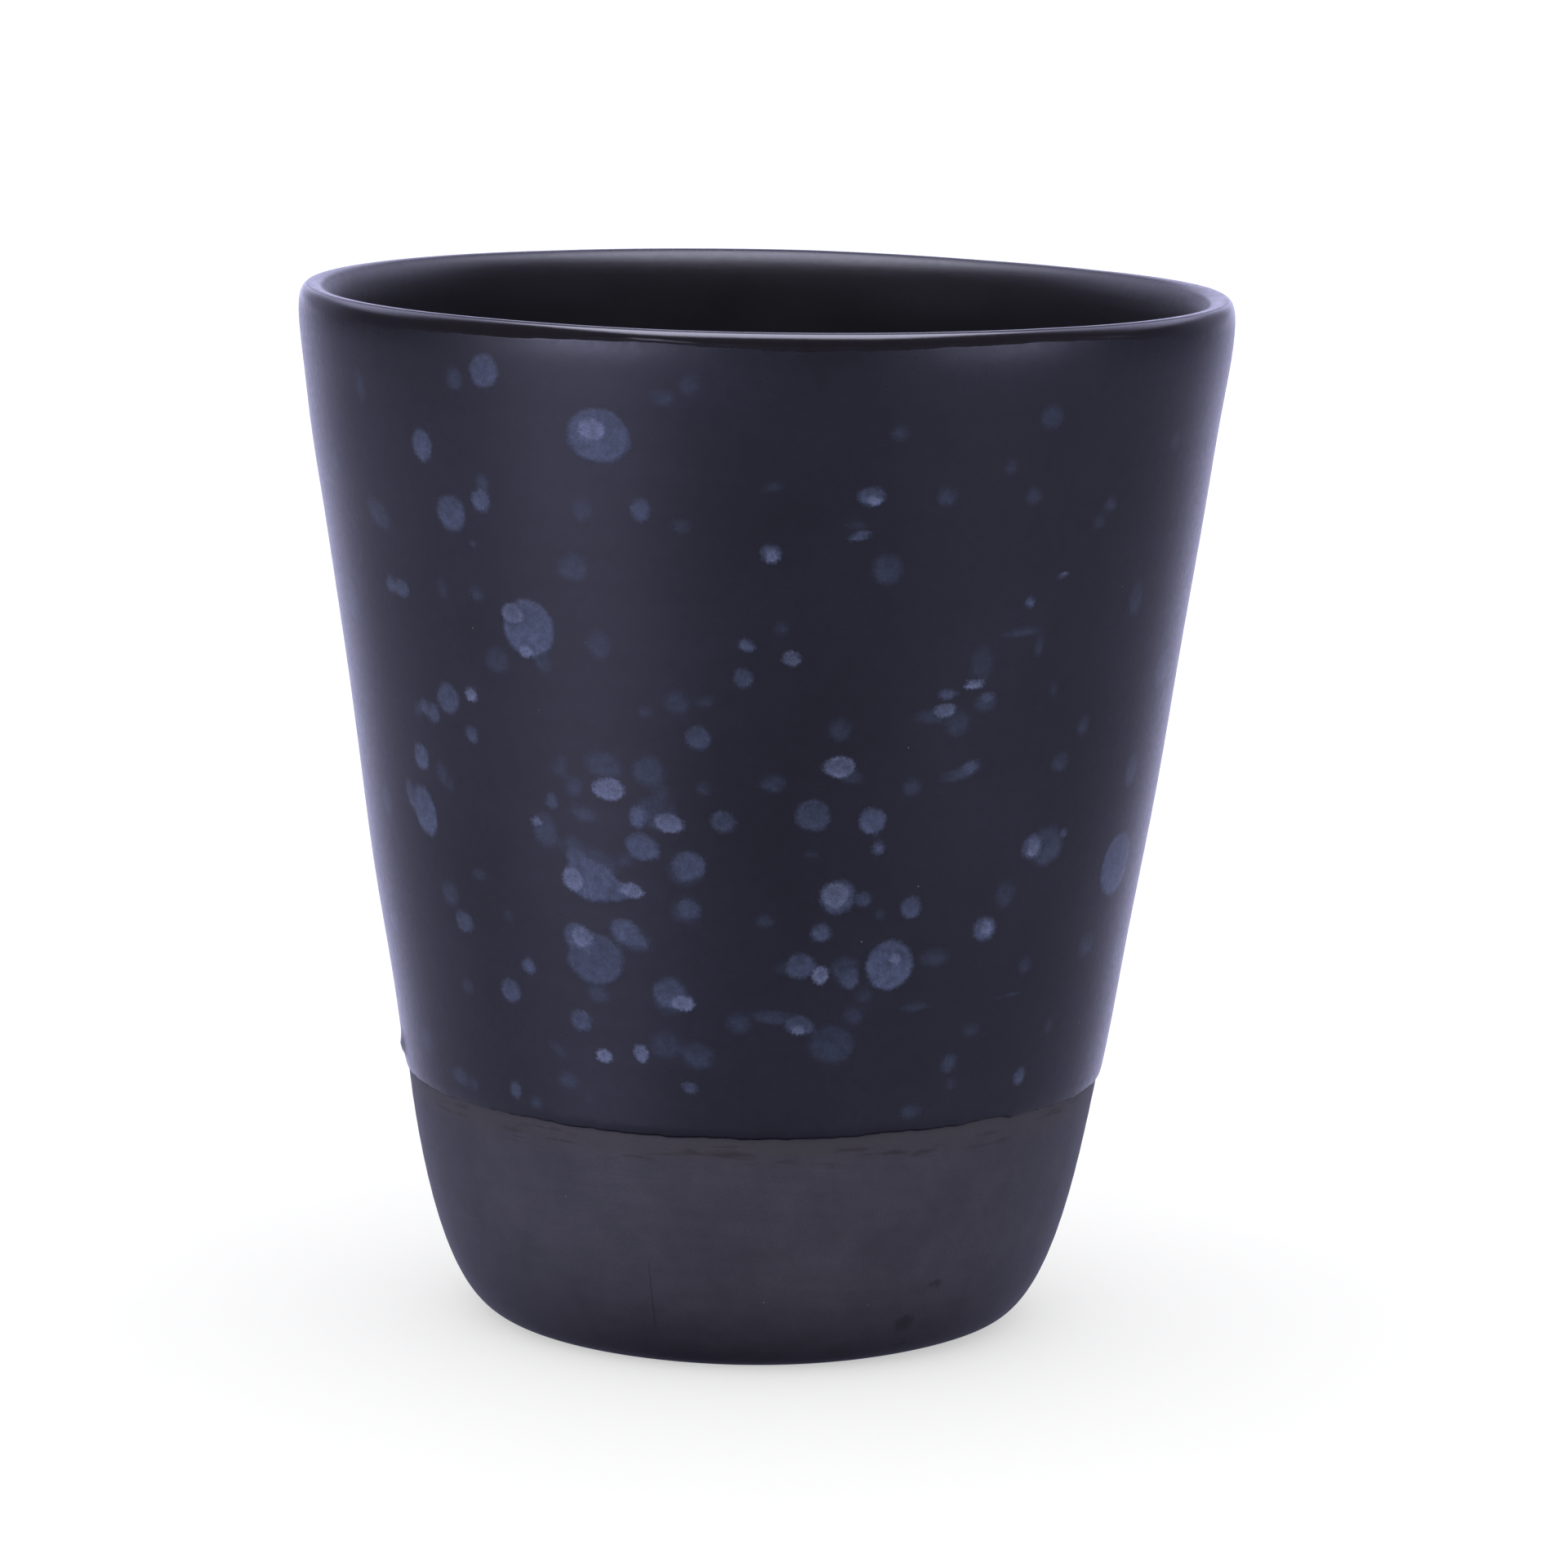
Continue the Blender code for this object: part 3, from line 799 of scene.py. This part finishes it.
class Nodes(Graph):
    """A material: one Principled shader, and patterns placed in millimetres on the object."""

    def __init__(self, name):
        self.material = bpy.data.materials.new(name)
        self.material.use_nodes = True
        super().__init__(self.material.node_tree)
        self.output = self.tree.nodes.new("ShaderNodeOutputMaterial")
        self.shader = self.tree.nodes.new("ShaderNodeBsdfPrincipled")
        self.tree.links.new(self.shader.outputs["BSDF"], self.output.inputs["Surface"])
        place = self.tree.nodes.new("ShaderNodeTexCoord")
        self.place = self.scaled(place.outputs["Object"], (1 / MM, 1 / MM, 1 / MM))

    def upwards(self):
        """Height on the object in millimetres."""
        parts = self.tree.nodes.new("ShaderNodeSeparateXYZ")
        self.tree.links.new(self.place, parts.inputs[0])
        return parts.outputs[2]

    def finish(self, colour, roughness, normal, specular=0.5):
        self.put(colour, self.shader.inputs["Base Color"])
        self.put(roughness, self.shader.inputs["Roughness"])
        self.put(normal, self.shader.inputs["Normal"])
        self.shader.inputs["Specular IOR Level"].default_value = specular
        self.shader.inputs["IOR"].default_value = SURFACE_IOR
        return self.material


def outer_glaze_material():
    """Satin blue-black glaze with spatters of a paler blue one melted into it."""
    n = Nodes("blue_black_glaze")
    clouds = n.noise(0.045, 3.0)
    mottle = n.noise(0.9, 4.0, 0.65)
    colour = n.mix(n.ramp(clouds, 0.35, 0.68), DARK_GLAZE, LIGHT_GLAZE)
    colour = n.mottled(colour, mottle, 0.88, 1.12)

    depths = n.split(n.attribute("spatter", "Color"))
    rough_edge = n.maths("ADD", n.swing(n.noise(0.55, 2.0, 0.5), 0.55),
                         n.swing(n.noise(3.4, 5.0, 0.72), 0.95))
    blotch = n.ramp(n.noise(1.25, 5.0, 0.7), 0.32, 0.68, 0.76, 1.24)
    grit = n.ramp(n.noise(6.5, 3.0, 0.7), 0.3, 0.7, 0.78, 1.24)
    texture = n.maths("MULTIPLY", blotch, grit)
    texture = n.maths("MULTIPLY", texture, n.attribute("spatter_strength"))
    sag = n.ramp(n.attribute("spatter_low"), 0.8, -0.9, 0.88, 1.2)
    for depth, (soft, core, cover, dull, vivid) in zip(depths, SPATTER_PAINT):
        fade = n.ramp(n.maths("ADD", depth, rough_edge), *soft)
        hollow = n.ramp(depth, 0.1, 0.55, 1.0, core)
        tone = n.maths("MULTIPLY", n.maths("MULTIPLY", texture, sag), hollow)
        paint = n.gain(n.mix(mottle, dull, vivid), tone)
        colour = n.mix(n.maths("MULTIPLY", fade, cover), colour, paint)
    colour = n.specks(colour, 0.24, (0.012, 0.02), 0.8, (0.3, 0.3, 0.33))

    thin = n.ramp(n.attribute("under_lip"), 0.15, -0.15)
    colour = n.mix(n.maths("MULTIPLY", thin, 0.85), colour, THIN_GLAZE)

    covered = n.ramp(n.maths("ADD", depths[1], rough_edge), -0.3, 0.4)
    roughness = n.ramp(n.noise(1.6, 4.0, 0.6), 0.25, 0.75, 0.27, 0.33)
    roughness = n.maths("ADD", roughness, n.maths("MULTIPLY", covered, 0.04))
    roughness = n.maths("SUBTRACT", roughness, n.maths("MULTIPLY", thin, 0.12))
    peel = n.bump(n.noise(0.9, 3.0, 0.5), 0.012)
    pits = n.bump(n.noise(7.0, 2.0, 0.5), 0.003, normal=peel)
    raised = n.bump(covered, 0.015, normal=pits)
    return n.finish(colour, roughness, raised)


def inner_glaze_material():
    """Satin near-black glaze, plain, with faint turning marks, and glossier on the crest."""
    n = Nodes("black_glaze")
    clouds = n.noise(0.06, 3.0)
    colour = n.mix(n.ramp(clouds, 0.35, 0.65), DARK_LINER, LIGHT_LINER)
    colour = n.mottled(colour, n.noise(1.4, 4.0, 0.65), 0.88, 1.12)
    colour = n.specks(colour, 0.2, (0.01, 0.016), 0.6, (0.25, 0.25, 0.27))
    roughness = n.ramp(n.noise(1.3, 4.0, 0.6), 0.25, 0.75, 0.38, 0.46)
    crest = n.ramp(n.upwards(), HEIGHT - 0.4, HEIGHT - 0.1)
    roughness = n.maths("SUBTRACT", roughness, n.maths("MULTIPLY", crest, 0.22))
    peel = n.bump(n.noise(1.0, 3.0, 0.5), 0.012)
    bands = n.noise(1.0, 2.0, 0.5, vector=n.scaled(n.place, (0.04, 0.04, 0.9)))
    turned = n.bump(bands, 0.02, normal=peel)
    return n.finish(colour, roughness, turned, specular=0.38)


def clay_material():
    """Bare dark stoneware: fine grain, turning streaks, a browner halo under the glaze."""
    n = Nodes("bare_clay")
    clouds = n.noise(0.09, 5.0, 0.6)
    streaks = n.noise(1.0, 4.0, 0.6, vector=n.scaled(n.place, (0.09, 0.09, 1.3)))
    base = n.mix(n.ramp(clouds, 0.32, 0.68), DARK_CLAY, LIGHT_CLAY)
    base = n.mottled(base, n.noise(0.45, 4.0, 0.6), 0.94, 1.06)
    base = n.mottled(base, streaks, 0.975, 1.03)

    # under the glaze line
    below = n.attribute("below_line")
    halo = n.ramp(n.maths("ADD", below, n.swing(streaks, 3.0)), 3.4, 0.6)
    colour = n.mix(n.maths("MULTIPLY", halo, 0.75), base, HALO_CLAY)
    torn = n.noise(1.0, 5.0, 0.65, vector=n.scaled(n.place, (0.16, 0.16, 1.1)))
    torn = n.maths("MULTIPLY", n.ramp(torn, 0.54, 0.66), n.ramp(below, 0.25, 0.7))
    torn = n.maths("MULTIPLY", torn, n.ramp(below, 3.6, 1.8))
    colour = n.mix(n.maths("MULTIPLY", torn, 0.72), colour, TORN_CLAY)

    # grain, flecks and dust
    grain = n.noise(5.0, 4.0, 0.7)
    colour = n.mottled(colour, grain, 0.9, 1.1)
    colour = n.specks(colour, 0.9, (0.05, 0.12), 0.3, (0.085, 0.08, 0.09))
    colour = n.specks(colour, 0.3, (0.016, 0.026), 0.7, (0.3, 0.29, 0.31))

    # stains and the fine line, then painted shade: the foot darker towards its base, where less light
    # reaches it
    smear = n.swing(n.noise(1.1, 4.0, 0.7), 1.6)
    stained = n.ramp(n.maths("ADD", n.attribute("stain"), smear), -0.1, 0.7)
    colour = n.mix(n.maths("MULTIPLY", stained, 0.55), colour, STAIN_TINT)
    waver = n.maths("MULTIPLY", n.noise(1.5), 0.1)
    crack = n.ramp(n.maths("ADD", n.attribute("hairline"), waver), 0.06, 0.17, 1.0, 0.0)
    colour = n.mix(n.maths("MULTIPLY", crack, 0.5), colour, CRACK_TINT)
    # painted shade: the foot's colour darkens over its lowest 12 mm, down to 0.66 at the table
    painted_base_shade = n.ramp(n.upwards(), 0.0, 12.0, 0.66, 1.0)
    colour = n.gain(colour, painted_base_shade)

    roughness = n.ramp(grain, 0.25, 0.75, 0.5, 0.62)
    tooth = n.bump(n.noise(4.0, 4.0, 0.65), 0.03)
    turned = n.bump(streaks, 0.018, normal=tooth)
    return n.finish(colour, roughness, turned, specular=0.4)


# ---------------------------------------------------------------- the mug

parts = (
    (make_outer_coat(), outer_glaze_material(), "outer_glaze", "blue_black_glaze"),
    (make_clay(), clay_material(), "clay_body", "bare_clay"),
    (make_liner(), inner_glaze_material(), "inner_glaze", "black_glaze"),
)
for piece, surface, node, slot in parts:
    piece.data.materials.append(surface)
    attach(piece, "root")
    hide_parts(node)

# ---------------------------------------------------------------- stage

# Radiances, with 1 as full white. Sides are as the camera sees them.
TABLE_FRONT = 0.33
TABLE_LEFT = 0.42
TABLE_RIGHT = 0.34
TABLE_FAR = 0.88
POOL_LEFT = 0.85
POOL_RIGHT = 0.18
GLOW_LEFT = 6.0
GLOW_RIGHT = 3.9
ROOM_FRONT = 0.10
ROOM_SIDE = 0.42
ROOM_HIGH = 1.5
ROOM_BACK = 1.05
SOFTBOX = 8.0
TABLE_TINT = (0.95, 0.95, 1.42)
SOFTBOX_TINT = (0.95, 0.94, 1.20)
GROUND_LEFT = 0.09
GROUND_RIGHT = 0.03
SKY_LIGHT = 1.20


def make_floor():
    """A pale table that glows a little, so that the mug's shadow on it stays soft."""
    mesh = bpy.data.meshes.new("floor")
    reach = 6.0
    corners = [(-reach, -reach, 0), (reach, -reach, 0), (reach, reach, 0), (-reach, reach, 0)]
    mesh.from_pydata(corners, [], [(0, 1, 2, 3)])
    floor = bpy.data.objects.new("floor", mesh)
    bpy.context.scene.collection.objects.link(floor)
    n = Nodes("pale_floor")
    tone = n.ramp(n.noise(0.02, 3.0), 0.3, 0.7, 0.985, 1.0)
    n.finish(n.gain((0.5, 0.5, 0.5), tone), 0.9, n.bump(n.noise(0.8, 2.0), 0.02), 0.1)
    n.shader.inputs["Emission Color"].default_value = (1.0, 1.0, 1.0, 1.0)
    n.shader.inputs["Emission Strength"].default_value = 0.5
    mesh.materials.append(n.material)
    floor.visible_glossy = False
    floor.visible_diffuse = False
    return floor


def mirrored_studio(n, x, y, z):
    """What the glazes mirror, by direction. Ramps and patches are in degrees.

    It is a softbox overhead, a dark room in front, a pale backdrop behind and a table that is
    brighter to both sides of the mug's own shadow.
    """
    elevation = n.maths("MULTIPLY", n.maths("ARCSINE", z), 180 / pi)
    azimuth = n.maths("MULTIPLY", n.maths("ARCTAN2", x, n.maths("MULTIPLY", y, -1.0)), 180 / pi)
    turned = n.maths("ABSOLUTE", azimuth)

    def patch(centre, half, radiance):
        away = n.maths("DIVIDE", n.maths("SUBTRACT", azimuth, centre), half)
        fall = n.maths("EXPONENT", n.maths("MULTIPLY", n.maths("MULTIPLY", away, away), -1.0))
        return n.maths("MULTIPLY", fall, radiance)

    # the table: near, far behind the mug, and a pool of light to each side
    side = n.ramp(x, -0.6, 0.6, TABLE_LEFT, TABLE_RIGHT)
    near = n.ramp(turned, 12.0, 85.0, TABLE_FRONT, side)
    near = n.maths("MULTIPLY", near, n.ramp(elevation, -60.0, -32.0, 0.08, 1.0))
    near = n.maths("MULTIPLY", near, n.ramp(elevation, -16.0, -3.0, 1.0, 0.35))
    far = n.maths("MULTIPLY", n.ramp(turned, 126.0, 176.0, 0.0, TABLE_FAR),
                  n.ramp(elevation, -29.0, -16.0))
    far = n.maths("MULTIPLY", far, n.ramp(elevation, -18.0, -5.0, 1.0, 1.35))
    far = n.maths("MULTIPLY", far, n.ramp(x, -0.5, 0.5, 1.0, 0.95))
    pools = n.maths("ADD", patch(-46.0, 24.0, POOL_LEFT), patch(52.0, 26.0, POOL_RIGHT))
    pools = n.maths("MULTIPLY", pools, n.ramp(elevation, -33.0, -22.0))
    table = n.maths("ADD", n.maths("ADD", near, far), pools)
    # a glow along the horizon, to both sides of the front
    glow = n.maths("ADD", patch(-46.0, 19.5, GLOW_LEFT), patch(58.0, 17.5, GLOW_RIGHT))
    glow = n.maths("MULTIPLY", glow, n.ramp(elevation, -8.0, 0.0))
    glow = n.maths("MULTIPLY", glow, n.ramp(elevation, 7.5, 2.5))
    # the room, with a pale backdrop behind that stops part of the way up
    drop = n.ramp(elevation, 26.0, 14.0, ROOM_SIDE, ROOM_BACK)
    high = n.ramp(turned, 95.0, 130.0, ROOM_FRONT, ROOM_HIGH)
    room = n.ramp(turned, 115.0, 150.0, ROOM_FRONT, ROOM_SIDE)
    room = n.ramp(elevation, 15.0, 28.0, room, high)
    room = n.ramp(turned, 150.0, 168.0, room, drop)
    below = n.ramp(elevation, 1.0, -3.0)
    around = n.maths("ADD", n.maths("MULTIPLY", table, below),
                     n.maths("MULTIPLY", room, n.maths("SUBTRACT", 1.0, below)))
    around = n.maths("ADD", around, glow)
    # the softbox overhead, its edges as slopes from the zenith
    rise = n.maths("MAXIMUM", z, 0.02)
    sideways = n.maths("DIVIDE", x, rise)
    backward = n.maths("DIVIDE", y, rise)
    box = n.maths("MULTIPLY", n.ramp(sideways, -0.6, -0.35), n.ramp(sideways, 0.6, 0.35))
    box = n.maths("MULTIPLY", box, n.ramp(backward, -0.8, -0.25))
    box = n.maths("MULTIPLY", box, n.ramp(backward, 0.85, 0.25))
    box = n.maths("MULTIPLY", box, n.ramp(z, 0.02, 0.1))
    return n.mix(box, n.gain(TABLE_TINT, around), n.gain(SOFTBOX_TINT, SOFTBOX))


def matt_light(n, x, z):
    """What lights matt surfaces, by direction: an even sky over a dim table."""
    ground = n.ramp(x, -1.0, 1.0, GROUND_LEFT, GROUND_RIGHT, smooth=False)
    sky = n.ramp(z, -0.12, 0.12, ground, SKY_LIGHT)
    leaning = n.maths("ADD", 1.0, n.maths("MULTIPLY", x, -0.06))
    return n.gain((1.0, 1.0, 1.0), n.maths("MULTIPLY", sky, leaning))


def make_world():
    """The studio: white to the camera, painted for mirrored rays, and even for matt ones."""
    world = bpy.data.worlds.new("studio")
    world.use_nodes = True
    world.cycles.sampling_method = "NONE"
    n = Graph(world.node_tree)
    place = n.tree.nodes.new("ShaderNodeTexCoord")
    parts = n.tree.nodes.new("ShaderNodeSeparateXYZ")
    n.tree.links.new(place.outputs["Generated"], parts.inputs[0])
    x, y, z = parts.outputs
    path = n.tree.nodes.new("ShaderNodeLightPath")
    seen = n.mix(path.outputs["Is Glossy Ray"], matt_light(n, x, z), mirrored_studio(n, x, y, z))
    seen = n.mix(path.outputs["Is Camera Ray"], seen, (1.0, 1.0, 1.0))
    light = n.tree.nodes.new("ShaderNodeBackground")
    n.put(seen, light.inputs["Color"])
    output = n.tree.nodes.new("ShaderNodeOutputWorld")
    n.tree.links.new(light.outputs[0], output.inputs["Surface"])
    bpy.context.scene.world = world


make_floor()
make_world()

# ---------------------------------------------------------------- camera

VIEW_DISTANCE = 0.645
VIEW_ELEVATION = radians(9.93)
VIEW_ROLL = radians(1.24)
LENS = 152.25  # on a 36 mm sensor
LOOK_AT = Vector((0.0, 0.0, 0.0496))
AIM_RIGHT = 0.00406  # tangents of the small angles by which the view passes the target
AIM_UP = 0.00335

camera_data = bpy.data.cameras.new("camera")
camera_data.sensor_width = 36.0
camera_data.lens = LENS
camera_data.clip_start = 0.01
camera_data.clip_end = 50.0
camera = bpy.data.objects.new("camera", camera_data)
bpy.context.scene.collection.objects.link(camera)
back = Vector((0.0, -cos(VIEW_ELEVATION), sin(VIEW_ELEVATION)))
across = Vector((1.0, 0.0, 0.0))
above = across.cross(-back)
right = across * cos(VIEW_ROLL) + above * sin(VIEW_ROLL)
top = above * cos(VIEW_ROLL) - across * sin(VIEW_ROLL)
forward = (-back + right * AIM_RIGHT + top * AIM_UP).normalized()
right = (right - forward * right.dot(forward)).normalized()
top = right.cross(forward)
turn = Matrix((right, top, -forward)).transposed()
camera.matrix_world = Matrix.Translation(LOOK_AT + back * VIEW_DISTANCE) @ turn.to_4x4()
bpy.context.scene.camera = camera

bpy.context.scene.view_settings.view_transform = "Standard"
